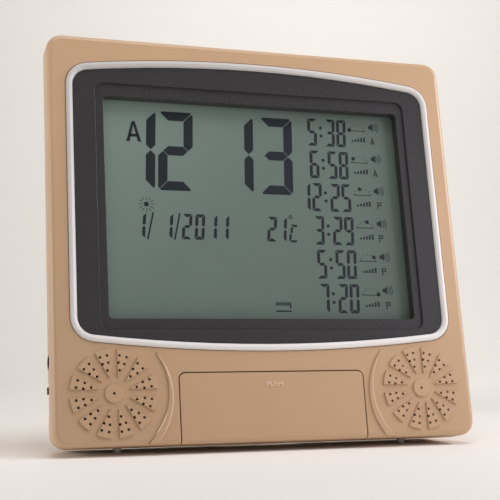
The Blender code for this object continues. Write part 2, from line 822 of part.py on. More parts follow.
def window_frame():
    inside = ring_band + gap
    front = frame_setback
    back = wall + gap + frame_plate
    body = loft("window_frame", [(arched(inside), front), (arched(inside), back)])
    add(body, flat_outlines("frame_flange", [arched(-frame_flange)], wall + gap, back))
    tunnel_half = opening_width / 2 + tunnel_wall
    tunnel = oblong(tunnel_half, opening_base - tunnel_wall, opening_top + tunnel_wall,
                    opening_corner_radius + tunnel_wall)
    add(body, flat_outlines("frame_tunnel", [tunnel], back - overrun / 2, tunnel_end))
    nest_half = opening_width / 2 + display_border + gap
    nest_low = opening_base - display_border - gap
    nest_high = opening_top + display_border + gap
    nest = block("display_nest", (-nest_half - nest_wall, back - overrun / 2, nest_low - nest_wall),
                 (nest_half + nest_wall, display_back, nest_high + nest_wall))
    cut(nest, block("display_nest_hollow", (-nest_half, -overrun, nest_low),
                    (nest_half, display_back + overrun, nest_high)))
    add(body, nest)
    cut(body, flat_outlines("frame_step", [oblong(step_width / 2, step_base, step_top, step_corner_radius)],
                            -overrun, front + step_depth))
    cut(body, flat_outlines("frame_opening", [oblong(opening_width / 2, opening_base, opening_top,
                                                     opening_corner_radius)], -overrun, tunnel_end + overrun))
    posts = [((x, back - overrun / 2, z), (x, board_front - gap, z), board_post_radius, board_post_radius)
             for x, z in board_post_places()]
    add(body, rods("board_posts", posts))
    cut(body, rods("board_post_holes", [((x, board_front - screw_bite, z), (x, board_front + overrun, z),
                                         screw_hole_radius, screw_hole_radius)
                                        for x, z in board_post_places()], 12))
    return finish(body, dark_plastic)


def board_post_places():
    return [(side * board_post_x, z) for side in (-1, 1)
            for z in (board_base + board_post_inset, board_top - board_post_inset)]


def display_group():
    half = opening_width / 2 + display_border
    low = opening_base - display_border
    high = opening_top + display_border
    finish(block("display_panel", (-half, display_front, low), (half, display_back, high)), display_glass)
    light_half = half - light_plate_margin
    light_high = high - light_plate_margin - strip_width - gap
    light = block("display_light_plate", (-light_half, light_front, low + light_plate_margin),
                  (light_half, light_front + light_plate_thickness, light_high))
    finish(light, white_plastic)
    strip = block("display_contact_strip", (-light_half, light_front, light_high + gap),
                  (light_half, strip_back, light_high + gap + strip_width))
    finish(strip, paper)
    board = block("main_board", (-board_width / 2, board_front, board_base),
                  (board_width / 2, board_back, board_top))
    cut(board, rods("main_board_holes", [((x, board_front - overrun, z), (x, board_back + overrun, z),
                                          screw_hole_radius, screw_hole_radius)
                                         for x, z in board_post_places()], 12))
    finish(board, board_green)
    quarter = board_width / 4
    chip = board_post_inset
    for name, x in (("clock_chip", -quarter), ("sound_chip", quarter)):
        finish(block(name, (x - chip, board_back + gap, opening_z - chip),
                     (x + chip, chip_back, opening_z + chip)), black_plastic)
    for number, (x, z) in enumerate(board_post_places(), start=1):
        finish(screw("board_screw_%d" % number, x, z, board_back + gap, screw_bite - overrun), steel)


def screw(name, x, z, seat, bite):
    """A pan-head screw, driven in from the back: its head's underside lies at seat."""
    profile = [(0, seat + screw_head_depth), (screw_head_radius / 2, seat + screw_head_depth),
               (screw_head_radius, seat + screw_head_depth / 2), (screw_head_radius, seat),
               (screw_radius, seat), (screw_radius, seat - bite), (0, seat - bite)]
    return turned(name, profile, x, z, 8)


# Control door, keys and latch

def control_door():
    """A face plate whose lower edge rounds under into a short lip, with lugs and pins at its ends."""
    inner = case_edge_radius + door_thickness / 2
    lip_thickness = door_thickness * door_lip_share
    profile = [(0, door_height), (0, case_edge_radius)]
    profile += arc_points(case_edge_radius, case_edge_radius, case_edge_radius, math.pi, 1.5 * math.pi, 5)[1:]
    profile += [(door_lip, 0), (door_lip, lip_thickness), (inner, lip_thickness),
                (door_thickness, inner), (door_thickness, door_height)]
    half = door_width / 2
    bm = bmesh.new()
    near = [bm.verts.new((-half, y - hinge_y, z - hinge_z)) for y, z in profile]
    far = [bm.verts.new((half, y - hinge_y, z - hinge_z)) for y, z in profile]
    count = len(profile)
    for i in range(count):
        bm.faces.new((near[i], near[(i + 1) % count], far[(i + 1) % count], far[i]))
    bm.faces.new(near)
    bm.faces.new(list(reversed(far)))
    body = mesh_object("control_door", bm)
    body.location = (0, hinge_y, hinge_z)
    keep_within(body, flat_outlines("door_corners", [door_outline(0)], -overrun, door_lip + overrun))
    lugs = [((side * (half - hinge_lug_length), hinge_y, hinge_z), (side * half, hinge_y, hinge_z),
             hinge_lug_radius, hinge_lug_radius) for side in (-1, 1)]
    add(body, rods("door_lugs", lugs))
    pin_end = half + door_gap + hinge_pin_length
    pins = [((side * (half - hinge_lug_length / 2), hinge_y, hinge_z), (side * pin_end, hinge_y, hinge_z),
             hinge_pin_radius, hinge_pin_radius) for side in (-1, 1)]
    add(body, rods("door_pins", pins, 12))
    add(body, block("door_catch", (-catch_width / 2, door_thickness / 2, latch_z - catch_height / 2),
                    (catch_width / 2, door_thickness + catch_length, latch_z + catch_height / 2)))
    return finish(body, tan_plastic)


def latch():
    plunger_front = door_thickness + catch_length + gap
    half = latch_size / 2
    body_front = bay_back + gap
    body_back = body_front + latch_body_depth
    plunger_back = body_back - 2 * latch_travel
    plunger = block("latch_plunger", (-half, plunger_front, -half), (half, plunger_back, half))
    plunger.location = (0, 0, latch_z)
    finish(plunger, black_plastic)
    housing = block("latch_housing", (-latch_body_width / 2, body_front, latch_z - latch_body_height / 2),
                    (latch_body_width / 2, body_back, latch_z + latch_body_height / 2))
    cut(housing, block("latch_hollow", (-half - gap, body_front - overrun, latch_z - half - gap),
                       (half + gap, plunger_back + latch_travel + gap, latch_z + half + gap)))
    finish(housing, black_plastic)


def keys():
    stem = [(0, key_flange_back), (0, key_flange_front)]
    for number, (x, z) in enumerate(key_places(), start=1):
        half = key_width / 2
        tall = key_height / 2
        front = bay_depth - key_rise
        crown = key_rise / 3

        def face(inset):
            return oblong(half - inset, inset - tall, tall - inset, key_corner_radius - inset, 0, 2)

        sections = [(face(crown), front), (face(crown / 3), front + crown / 3), (face(0), front + crown),
                    (face(0), stem[1][1]), (face(-key_flange), stem[1][1]), (face(-key_flange), stem[0][1])]
        cap = loft("key_%d" % number, sections)
        cap.location = (x, 0, z)
        finish(cap, key_plastic)
    switch_half = switch_size / 2
    board = block("key_board", (-key_board_width / 2, key_board_front, key_board_base),
                  (key_board_width / 2, key_board_front + board_thickness, key_board_base + key_board_height))
    switches = [((x - switch_half, switch_front, z - switch_half),
                 (x + switch_half, key_board_front + board_thickness / 2, z + switch_half))
                for x, z in key_places()]
    add(board, blocks("key_switches", switches))
    finish(board, board_green)


# Speakers

def speakers():
    front = wall + gap
    back = front + speaker_depth
    for side, name in ((-1, "left"), (1, "right")):
        x = side * speaker_x
        basket = [(0, back), (speaker_neck_radius, back), (speaker_neck_radius, back - speaker_flange),
                  (speaker_radius - speaker_flange, front + speaker_flange),
                  (speaker_radius, front + speaker_flange), (speaker_radius, front),
                  (speaker_radius - speaker_flange, front),
                  (speaker_neck_radius - speaker_metal, back - speaker_flange - speaker_metal),
                  (0, back - speaker_flange - speaker_metal)]
        finish(turned("speaker_basket_" + name, basket, x, speaker_z), steel)
        rim = cone_rim_radius
        cap = dust_cap_radius * cap_shoulder_share
        cap_front = front + cone_depth * cap_rise_share
        cone = [(0, front + cone_depth / 2 + cone_skin), (cap, cap_front + cone_skin),
                (dust_cap_radius, front + cone_depth + cone_skin), (rim - cone_skin, front + cone_skin),
                (rim, front + cone_skin), (rim, front), (rim - cone_skin, front),
                (dust_cap_radius, front + cone_depth), (cap, cap_front),
                (0, front + cone_depth / 2)]
        finish(turned("speaker_cone_" + name, cone, x, speaker_z), paper)
        magnet_back = back + gap + magnet_depth
        edge = speaker_metal
        magnet = [(0, magnet_back), (magnet_radius - edge, magnet_back), (magnet_radius, magnet_back - edge),
                  (magnet_radius, back + gap), (0, back + gap)]
        finish(turned("speaker_magnet_" + name, magnet, x, speaker_z, 16), black_plastic)


# Battery compartment

def battery():
    """Cells side by side, every second one turned over, with a spring at each flat end."""
    for i in range(cell_count):
        x = (i - (cell_count - 1) / 2) * cell_pitch
        way = 1 if i % 2 == 0 else -1
        spring_room = 3 * gap + contact_thickness + cell_spring_length
        flat_end = cell_bay_middle_z - way * (cell_reach / 2 - spring_room)
        shoulder = flat_end + way * cell_length
        wrap = 2 * cell_spring_wire
        rings = [(cell_radius - wrap, flat_end), (cell_radius, flat_end + way * wrap),
                 (cell_radius, shoulder - way * wrap), (cell_radius - wrap, shoulder),
                 (cell_nub_radius, shoulder), (cell_nub_radius, shoulder + way * cell_nub_length)]
        finish(upright_turning("battery_cell_%d" % (i + 1), rings, x, cell_y), cell_wrap)
        base = cell_bay_middle_z - way * (cell_reach / 2 - 2 * gap - contact_thickness - cell_spring_wire)
        finish(cell_spring("battery_spring_%d" % (i + 1), x, base, way), steel)
    plate_half = cell_spring_radius + cell_spring_wire
    first = -(cell_count - 1) / 2 * cell_pitch
    for edge, spans in ((-1, ((0, 1), (2, 2))), (1, ((0, 0), (1, 2)))):
        outer = cell_bay_middle_z + edge * (cell_reach / 2 - gap)
        low, high = sorted((outer, outer - edge * contact_thickness))
        for start, end in spans:
            plate = block("battery_contact_%s_%d" % ("lower" if edge < 0 else "upper", start + 1),
                          (first + start * cell_pitch - plate_half, cell_y - plate_half, low),
                          (first + end * cell_pitch + plate_half, cell_y + plate_half, high))
            finish(plate, steel)
    battery_door()


def cell_spring(name, x, base, way):
    """A short conical coil, wide at its contact plate."""
    springs = bpy.data.curves.new(name, "CURVE")
    springs.dimensions = "3D"
    springs.bevel_depth = cell_spring_wire
    springs.bevel_resolution = 0
    springs.use_fill_caps = True
    rise = cell_spring_length - gap - 2 * cell_spring_wire
    turn_points = 7
    steps = turn_points * cell_spring_turns
    spline = springs.splines.new("POLY")
    spline.points.add(steps)
    for k, point in enumerate(spline.points):
        turn = 2 * math.pi * k / turn_points
        radius = cell_spring_radius * (1 - cell_spring_taper_share * k / steps)
        point.co = (x + radius * math.cos(turn), cell_y + radius * math.sin(turn),
                    base + way * rise * k / steps, 1)
    holder = bpy.data.objects.new(name + "_guide", springs)
    cutters.objects.link(holder)
    bpy.context.view_layer.update()
    depsgraph = bpy.context.evaluated_depsgraph_get()
    mesh = bpy.data.meshes.new_from_object(holder.evaluated_get(depsgraph))
    bpy.data.objects.remove(holder)
    bm = bmesh.new()
    bm.from_mesh(mesh)
    bmesh.ops.remove_doubles(bm, verts=bm.verts, dist=weld_distance)
    return mesh_object(name, bm)


def battery_door():
    door_half = cell_bay_half + cell_door_lap - gap
    door_front = rear_inner - cell_door_ledge + wall + gap
    door = block("battery_door", (-door_half, door_front, cell_bay_base - cell_door_lap + gap),
                 (door_half, case_depth, cell_bay_top + cell_door_lap - gap))
    soften(door, gap)
    grip_half = cell_radius
    ribs = [((-grip_half, case_depth - gap, cell_bay_middle_z + k * wall), (grip_half, case_depth + gap,
             cell_bay_middle_z + k * wall + wall / 2)) for k in range(-3, 3)]
    add(door, blocks("battery_door_ribs", ribs))
    finish(door, tan_plastic)


def upright_turning(name, rings, x, y, sides=16):
    """A solid turned about a vertical line, from a list of (radius, z) rings."""
    bm = bmesh.new()
    loops = [[bm.verts.new((x + radius * math.cos(2 * math.pi * i / sides),
                            y + radius * math.sin(2 * math.pi * i / sides), z)) for i in range(sides)]
             for radius, z in rings]
    for near, far in zip(loops, loops[1:]):
        for i in range(sides):
            bm.faces.new((near[i], near[(i + 1) % sides], far[(i + 1) % sides], far[i]))
    bm.faces.new(loops[0])
    bm.faces.new(list(reversed(loops[-1])))
    return mesh_object(name, bm)


# Stand and feet

def table_cutter(name):
    """A slab whose top face is the table that the clock stands on, in the case frame."""
    deep = case_depth + stand_length
    slab = block(name, (-half_width, -deep, -deep), (half_width, deep, 0))
    slab.location = (0, foot_y, foot_bottom_z)
    slab.rotation_euler = (lean_angle, 0, 0)
    return slab


def rear_stand():
    pivot = bpy.data.objects.new("stand_pivot", None)
    parts.objects.link(pivot)
    pivot.parent = case_frame
    pivot.location = (0, stand_axis_y, stand_hinge_z)
    pivot.rotation_euler = (stand_open_angle, 0, 0)
    reach = stand_length + stand_thickness
    top_half = stand_width / 2
    tip_half = stand_tip_width / 2
    outline = [(-top_half, 0), (-tip_half, -reach), (tip_half, -reach), (top_half, 0)]
    leg = flat_outlines("rear_stand", [outline], -stand_thickness / 2, stand_thickness / 2)
    window_half = stand_window_width / 2
    window = flat_outlines("stand_window", [oblong(window_half, -stand_window_top, -stand_window_base,
                                                   case_edge_radius, 0, 4)],
                           -stand_thickness, stand_thickness)
    barrel = rods("stand_barrel", [((-top_half, 0, 0), (top_half, 0, 0), stand_barrel_radius,
                                    stand_barrel_radius)], 20)
    bore = rods("stand_bore", [((-half_width, 0, 0), (half_width, 0, 0), stand_pin_radius + gap,
                                stand_pin_radius + gap)], 12)
    add(leg, barrel)
    cut(leg, window)
    cut(leg, bore)
    for tool in (window, barrel, bore):
        tool.parent = pivot
    cut(leg, table_cutter("table_under_stand"))
    finish(leg, tan_plastic)
    leg.parent = pivot
    pin_half = stand_width / 2 + stand_side_gap + stand_bay_wall
    pin_ends = [(side * pin_half, stand_axis_y, stand_hinge_z) for side in (-1, 1)]
    finish(rods("stand_pin", [(*pin_ends, stand_pin_radius, stand_pin_radius)]), steel)


def feet():
    share = (foot_y - foot_radius - rear_front) / (case_depth - rear_front)
    top_z = rear_reveal + (rear_base_inset - rear_reveal) * share
    for side, name in ((-1, "left"), (1, "right")):
        x = side * foot_x
        drop = foot_radius * table_slope
        foot = upright_turning("foot_" + name, [(foot_tip_radius, foot_bottom_z - drop), (foot_radius, 0),
                                                (foot_radius, top_z - gap)], x, foot_y, 16)
        cut(foot, table_cutter("table_under_foot_" + name))
        finish(foot, clear_rubber)


# Left-hand side fittings

def side_fittings():
    half = inlet_body / 2
    inner = -half_width + cover_wall_inset(parting_y + half) + gap
    body = block("power_inlet", (inner, parting_y - half, inlet_z - half),
                 (inner + inlet_length, parting_y + half, inlet_z + half))

    def side_rod(name, start, end, radius, sides):
        return rods(name, [((start, parting_y, inlet_z), (end, parting_y, inlet_z), radius, radius)], sides)

    add(body, side_rod("inlet_collar", -half_width + gap, inner + overrun, inlet_radius, 20))
    cut(body, side_rod("inlet_bore", -half_width - overrun, -half_width + inlet_bore_depth,
                       inlet_bore_radius, 20))
    finish(body, black_plastic)
    pin_end = -half_width + inlet_bore_depth - gap
    finish(side_rod("inlet_pin", pin_end - inlet_pin_length, pin_end, inlet_pin_radius, 12), steel)
    slider_low = slider_slot_base - slider_body_margin
    slider_high = slider_slot_top + slider_body_margin
    half_depth = slider_body_depth / 2
    inner = -half_width + cover_wall_inset(parting_y + half_depth) + gap
    slider = block("volume_slider", (inner, parting_y - half_depth, slider_low),
                   (inner + slider_body_thickness, parting_y + half_depth, slider_high))
    knob_half = knob_width / 2
    cut(slider, block("slider_track", (inner - overrun, parting_y - knob_half - gap, slider_slot_base),
                      (inner + slider_body_thickness / 2, parting_y + knob_half + gap, slider_slot_top)))
    finish(slider, black_plastic)
    knob = block("volume_knob", (-half_width - knob_rise, parting_y - knob_half, -knob_length / 2),
                 (inner + slider_body_thickness / 2 - gap, parting_y + knob_half, knob_length / 2))
    knob.location = (0, 0, knob_z)
    finish(knob, black_plastic)


front_case()
key_bay()
rear_cover()
trim_ring()
window_frame()
display_group()
control_door()
latch()
keys()
speakers()
battery()
rear_stand()
feet()
side_fittings()
for place, (screw_x, screw_z) in enumerate(screw_places, start=1):
    finish(screw("case_screw_%d" % place, screw_x, screw_z, screw_seat + gap,
                 screw_seat - front_depth + screw_bite - overrun), steel)

# Set the clock on the ground, with the middle of its box over the origin
case_frame.location = (0, 0, foot_y * math.sin(lean_angle) - foot_bottom_z * math.cos(lean_angle))
bpy.context.view_layer.update()
graph = bpy.context.evaluated_depsgraph_get()
corners = []
for piece in parts.objects:
    if piece.type == "MESH":
        shown = piece.evaluated_get(graph)
        corners += [shown.matrix_world @ vertex.co for vertex in shown.data.vertices]
for axis in (0, 1):
    places = [corner[axis] for corner in corners]
    case_frame.location[axis] -= (min(places) + max(places)) / 2
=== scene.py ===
"""Looks for the azan clock: materials, display content, small details, floor, light and camera.

Everything is in metres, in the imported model's frame. Pieces are drawn in the case frame (X right,
Y back from the face, Z up the face) and placed by case_frame, which leans back with the clock.
Outlines are lists of (x, z) points in millimetres, until scaled turns them into metres.
"""
import json
import math

import bmesh
import bpy
from mathutils import Matrix, Vector


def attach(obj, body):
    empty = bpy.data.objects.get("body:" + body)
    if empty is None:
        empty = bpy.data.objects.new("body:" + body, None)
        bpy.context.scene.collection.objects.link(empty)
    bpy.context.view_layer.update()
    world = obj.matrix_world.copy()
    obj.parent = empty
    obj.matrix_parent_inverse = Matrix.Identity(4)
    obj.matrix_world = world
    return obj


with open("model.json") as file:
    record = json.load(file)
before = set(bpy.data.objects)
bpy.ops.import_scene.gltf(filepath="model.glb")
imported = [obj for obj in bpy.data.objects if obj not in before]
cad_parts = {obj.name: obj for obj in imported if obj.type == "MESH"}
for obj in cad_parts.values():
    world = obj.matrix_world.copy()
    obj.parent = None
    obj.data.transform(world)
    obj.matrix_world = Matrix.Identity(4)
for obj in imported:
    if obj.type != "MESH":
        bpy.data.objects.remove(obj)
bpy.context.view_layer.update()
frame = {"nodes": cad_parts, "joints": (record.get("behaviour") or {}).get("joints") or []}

# Case sizes that the details sit on
millimetre = 0.001
lean_angle = math.radians(10.8)
hinge_y = 0.0042
hinge_z = 0.0036
case_depth = 0.0380
display_front = 0.0069
door_front = 0.0
crescent_front = -0.00068

# How far ink and raised lines stand out
ink = 0.00005
emboss = 0.0002

joints = {joint["name"]: joint for joint in frame["joints"]}
hinge_place = Vector(joints["door_hinge"]["pos_m"])
case_frame = (Matrix.Translation(hinge_place) @ Matrix.Rotation(-lean_angle, 4, "X")
              @ Matrix.Translation((0, -hinge_y, -hinge_z)))
case_up = case_frame.to_3x3() @ Vector((0, 0, 1))


def case_box(name):
    """A node's lowest and highest corners in the case frame."""
    points = [case_frame.inverted() @ vertex.co for vertex in frame["nodes"][name].data.vertices]
    return [Vector([pick(point[i] for point in points) for i in range(3)]) for pick in (min, max)]


def case_centre(name):
    """The x and z of a node's middle on the case, in millimetres."""
    low, high = case_box(name)
    return ((low + high) / 2 / millimetre).xz


# Camera: the photograph's place, in the case frame, and its level and turn in the world
camera_place = (-0.19503, -0.54449, -0.04545)
camera_rise = math.radians(3.94)
camera_turn = math.radians(-18.35)

camera_data = bpy.data.cameras.new("photo_camera")
camera_data.sensor_width = 36
camera_data.lens = 81.11
camera_data.clip_start = 0.01
camera = bpy.data.objects.new("photo_camera", camera_data)
bpy.context.scene.collection.objects.link(camera)
camera.location = case_frame @ Vector(camera_place)
camera.rotation_euler = (math.pi / 2 + camera_rise, 0, camera_turn)
bpy.context.scene.camera = camera


# Materials

coat_roughness = 0.2
roughness_spread = 0.06  # how far the fine grain moves the roughness each way
blotch_scale = 45.0
grain_height = 0.0002
noise_low, noise_high = 0.3, 0.7  # between these the noise has most of its values
mix_first, mix_second, mix_result = 6, 7, 2  # the colour sockets of a Mix node


def node_tools(material):
    """The material's shader, a function that adds a node, and one that links two sockets."""
    tree = material.node_tree

    def make(kind, **settings):
        node = tree.nodes.new(kind)
        for name, value in settings.items():
            if name in node.inputs:
                node.inputs[name].default_value = value
            else:
                setattr(node, name, value)
        return node

    return tree.nodes["Principled BSDF"], make, tree.links.new


def share_of(make, link, value, start, end, first, last):
    """A number that goes from first to last while the value goes from start to end."""
    share = make("ShaderNodeMapRange",
                 **{"From Min": start, "From Max": end, "To Min": first, "To Max": last})
    link(value, share.inputs["Value"])
    return share.outputs["Result"]


def distance_along(make, link, direction):
    """How far a point of the surface lies along a direction."""
    along = make("ShaderNodeVectorMath", operation="DOT_PRODUCT")
    along.inputs[1].default_value = direction
    link(make("ShaderNodeTexCoord").outputs["Object"], along.inputs[0])
    return along.outputs["Value"]


def surface(name, colour, roughness, grain=900.0, bump=0.05, blotch=0.03, metallic=0.0, specular=0.5,
            coat=0.0, rounding=0.0):
    """A moulded or painted surface: broad colour blotches, a fine grain, and softly rounded edges."""
    material = bpy.data.materials.new(name)
    material.use_nodes = True
    shader, make, link = node_tools(material)
    for socket, value in (("Metallic", metallic), ("Specular IOR Level", specular), ("Coat Weight", coat),
                          ("Coat Roughness", coat_roughness)):
        shader.inputs[socket].default_value = value
    place = make("ShaderNodeTexCoord")
    broad = make("ShaderNodeTexNoise", Scale=blotch_scale, Detail=3.0)
    fine = make("ShaderNodeTexNoise", Scale=grain, Detail=4.0, Roughness=0.6)
    for texture in (broad, fine):
        link(place.outputs["Object"], texture.inputs["Vector"])
    mix = make("ShaderNodeMix", data_type="RGBA")
    for socket, share in ((mix_first, 1 - blotch), (mix_second, 1 + blotch)):
        mix.inputs[socket].default_value = (*(channel * share for channel in colour), 1)
    link(broad.outputs["Fac"], mix.inputs[0])
    link(mix.outputs[mix_result], shader.inputs["Base Color"])
    link(share_of(make, link, fine.outputs["Fac"], noise_low, noise_high, roughness - roughness_spread,
                  roughness + roughness_spread), shader.inputs["Roughness"])
    height = make("ShaderNodeBump", Strength=bump, Distance=grain_height)
    link(fine.outputs["Fac"], height.inputs["Height"])
    link(height.outputs["Normal"], shader.inputs["Normal"])
    if rounding:
        edge = make("ShaderNodeBevel", samples=4, Radius=rounding)
        link(edge.outputs["Normal"], height.inputs["Normal"])
    return material


def shaded(material, direction, start, end, first, last):
    """Paints light and shade into the colour: lighter or darker along a direction, from a share at start to
    one at end.
    """
    shader, make, link = node_tools(material)
    before = shader.inputs["Base Color"].links[0].from_socket
    share = share_of(make, link, distance_along(make, link, direction), start, end, first, last)
    product = make("ShaderNodeVectorMath", operation="SCALE")
    link(before, product.inputs[0])
    link(share, product.inputs["Scale"])
    link(product.outputs["Vector"], shader.inputs["Base Color"])


def banded(material, direction, middle, bands):
    """Bands along a direction: each colour starts at its distance from the middle."""
    shader, make, link = node_tools(material)
    along = distance_along(make, link, direction)
    last = shader.inputs["Base Color"].links[0].from_socket
    for distance, colour in bands:
        after = make("ShaderNodeMath", operation="GREATER_THAN")
        after.inputs[1].default_value = middle + distance
        link(along, after.inputs[0])
        mix = make("ShaderNodeMix", data_type="RGBA")
        mix.inputs[mix_second].default_value = (*colour, 1)
        link(after.outputs[0], mix.inputs[0])
        link(last, mix.inputs[mix_first])
        last = mix.outputs[mix_result]
    link(last, shader.inputs["Base Color"])


tan_colour = (0.675, 0.442, 0.262)
steel_colour = (0.56, 0.55, 0.53)
sleeve_colour = (0.075, 0.095, 0.130)
copper_colour = (0.52, 0.27, 0.13)

tan = surface("tan_moulding", tan_colour, 0.34, bump=0.03, rounding=0.0004)
tan_matt = surface("tan_moulding_matt", tan_colour, 0.58, bump=0.06, specular=0.3, rounding=0.0004)
key_tan = surface("key_plastic", (0.70, 0.50, 0.33), 0.45, rounding=0.0003)
# A lighter tan for the crescent beads, the door's word and the battery door's arrow: painted highlight on
# raised edges of the moulding
raised_highlight_tan = surface("raised_tan_painted_highlight", (0.84, 0.63, 0.45), 0.30, bump=0.02)
silver = surface("silver_paint", (0.90, 0.865, 0.835), 0.42, grain=2600.0, bump=0.008, blotch=0.01,
                 specular=0.8, rounding=0.0004)
dark = surface("dark_frame_plastic", (0.044, 0.042, 0.043), 0.30, grain=1300.0, bump=0.012,
               rounding=0.00035)
panel = surface("display_polariser", (0.160, 0.212, 0.185), 0.36, grain=2500.0, bump=0.01, blotch=0.035,
                specular=0.4)
ink_black = surface("display_segments", (0.016, 0.022, 0.027), 0.45, grain=2500.0, bump=0.01, blotch=0.04,
                    specular=0.3)
black = surface("black_plastic", (0.018, 0.018, 0.019), 0.45, grain=1500.0, bump=0.08, blotch=0.08,
                rounding=0.0002)
white = surface("light_plate_acrylic", (0.72, 0.73, 0.70), 0.30, grain=1500.0, bump=0.02, blotch=0.02)
board = surface("board_solder_mask", (0.020, 0.135, 0.055), 0.32, grain=700.0, bump=0.15, blotch=0.25,
                coat=0.3)
steel = surface("plated_steel", steel_colour, 0.32, grain=2200.0, bump=0.10, blotch=0.05, metallic=1.0,
                rounding=0.00015)
cone_paper = surface("speaker_paper", (0.030, 0.029, 0.028), 0.85, grain=2600.0, bump=0.45, blotch=0.15,
                     specular=0.2)
foam = surface("contact_strip_rubber", (0.16, 0.16, 0.17), 0.75, grain=1800.0, bump=0.2, blotch=0.1)
foot_clear = surface("clear_foot", (0.93, 0.93, 0.91), 0.25, grain=1500.0, bump=0.04, blotch=0.02)
foot_shader = node_tools(foot_clear)[0]
foot_shader.inputs["Transmission Weight"].default_value = 0.05
foot_shader.inputs["IOR"].default_value = 1.45

# Painted light and shade: the colours change slowly over the face as the light falls on it, the display
# lightest at the upper left,
# # most of all near its corner, the moulding at the upper right and the ring at the lower right
panel_painted_light_direction = (-0.7, 0, 0.7)
shaded(panel, panel_painted_light_direction, -0.01, 0.19, 0.78, 1.22)
shaded(panel, panel_painted_light_direction, 0.10, 0.18, 1.0, 1.26)
shaded(tan, (0.35, 0, 0.94), -0.02, 0.15, 0.835, 1.045)
shaded(silver, (0.8, 0, -0.6), -0.17, 0.0, 0.80, 1.06)

# A node takes the look with the longest name that its own name starts with
looks = {"front_case": tan, "rear_cover": tan_matt, "battery_door": tan, "rear_stand": tan,
         "control_door": tan, "trim_ring": silver, "window_frame": dark, "display_panel": panel,
         "display_light_plate": white, "display_contact_strip": foam, "clock_chip": black,
         "sound_chip": black, "main_board": board, "key_board": board, "latch": black,
         "power_inlet": black, "inlet_pin": steel, "volume": black, "board_screw": steel,
         "case_screw": steel, "key_": key_tan, "speaker_basket": steel, "speaker_cone": cone_paper,
         "speaker_magnet": black, "battery_contact": steel, "battery_spring": steel, "stand_pin": steel,
         "foot": foot_clear}

# Each cell's sleeve is dark with a copper-coloured band and bare ends, the middle cell turned round
cell_bands = ((-0.0255, steel_colour), (-0.0243, sleeve_colour), (0.0105, copper_colour),
              (0.0236, steel_colour))
for number, side in ((1, 1), (2, -1), (3, 1)):
    name = "battery_cell_%d" % number
    low, high = case_box(name)
    sleeve = surface("cell_sleeve_%d" % number, sleeve_colour, 0.28, grain=1400.0, bump=0.03, blotch=0.05,
                     coat=0.4)
    centre = case_frame @ ((low + high) / 2)
    banded(sleeve, case_up * side, centre.dot(case_up * side), cell_bands)
    looks[name] = sleeve

for name, node in frame["nodes"].items():
    match = max((key for key in looks if name.startswith(key)), key=len)
    node.data.materials.clear()
    node.data.materials.append(looks[match])


# Pieces drawn in the case frame

def placed(name, bm, material, body):
    bmesh.ops.recalc_face_normals(bm, faces=bm.faces)
    mesh = bpy.data.meshes.new(name)
    bm.to_mesh(mesh)
    bm.free()
    mesh.transform(case_frame)
    mesh.materials.append(material)
    piece = bpy.data.objects.new(name, mesh)
    bpy.context.scene.collection.objects.link(piece)
    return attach(piece, body)


def raised(name, outlines, front, back, material, body):
    """Flat shapes with a thickness, from front to back along the case's Y."""
    bm = bmesh.new()
    for outline in outlines:
        near = [bm.verts.new((x, front, z)) for x, z in outline]
        far = [bm.verts.new((x, back, z)) for x, z in outline]
        bm.faces.new(near)
        bm.faces.new(list(reversed(far)))
        for i in range(len(outline)):
            j = (i + 1) % len(outline)
            bm.faces.new((near[i], near[j], far[j], far[i]))
    return placed(name, bm, material, body)


def scaled(outline, x=0, z=0):
    """An outline moved by x and z and turned from millimetres into metres."""
    return [((x + px) * millimetre, (z + pz) * millimetre) for px, pz in outline]


def point_at(x, z, turn, reach, rise=None):
    """The point at an angle on a circle, or on an ellipse that has its own rise."""
    return x + reach * math.cos(turn), z + (rise or reach) * math.sin(turn)


def disc(x, z, radius, sides=12):
    return [point_at(x, z, 2 * math.pi * i / sides, radius) for i in range(sides)]


def box_outline(x0, z0, x1, z1):
    return [(x0, z0), (x1, z0), (x1, z1), (x0, z1)]


def stroke_line(x0, z0, x1, z1, width):
    dx, dz = x1 - x0, z1 - z0
    length = math.hypot(dx, dz)
    nx, nz = -dz / length * width / 2, dx / length * width / 2
    return [(x0 + nx, z0 + nz), (x0 - nx, z0 - nz), (x1 - nx, z1 - nz), (x1 + nx, z1 + nz)]


def rays(count, inner, outer, width):
    """Strokes that point away from the middle all round."""
    turns = [2 * math.pi * i / count for i in range(count)]
    return [stroke_line(*point_at(0, 0, turn, inner), *point_at(0, 0, turn, outer), width) for turn in turns]


def ring_shape(outer, inner, sides):
    """A flat ring, as one outline for each of its sides."""
    turns = [2 * math.pi * i / sides for i in range(sides + 1)]
    return [[point_at(0, 0, first, inner), point_at(0, 0, first, outer), point_at(0, 0, second, outer),
             point_at(0, 0, second, inner)] for first, second in zip(turns, turns[1:])]


def letter_a(width, height, stroke):
    top = width / 2
    foot = stroke * 1.1
    bar_low = height * 0.24
    return [[(0, 0), (foot, 0), (top + stroke * 0.25, height), (top - stroke * 0.5, height)],
            [(width, 0), (top + stroke * 0.5, height), (top + stroke * 0.25, height), (top, height * 0.8),
             (width - foot, 0)],
            box_outline(width * 0.22, bar_low, width * 0.78, bar_low + stroke * 0.9)]


def letter_p(width, height, stroke):
    bar_low = height * 0.45
    return [box_outline(0, 0, stroke, height), box_outline(stroke, height - stroke, width, height),
            box_outline(stroke, bar_low, width, bar_low + stroke),
            box_outline(width - stroke, bar_low + stroke, width, height - stroke)]


# Low half-round lines along the crescents on the front, at the photographed places

bead_width = 0.0006
bead_rise = 0.00022
bead_points = 7  # around each half-round section
bead_start = 0.25  # its size at the ends, as a share, and how fast it grows from there
bead_growth = 4.0
crescent_steps = 28
crescent_lines = (((-61.5, 45.2), (-53.9, 24.0), (-61.2, 2.6)), ((-57.0, 16.0), (-59.0, 11.6), (-63.4, 4.8)),
                  ((61.3, 45.1), (54.9, 25.0), (63.6, 2.8)))


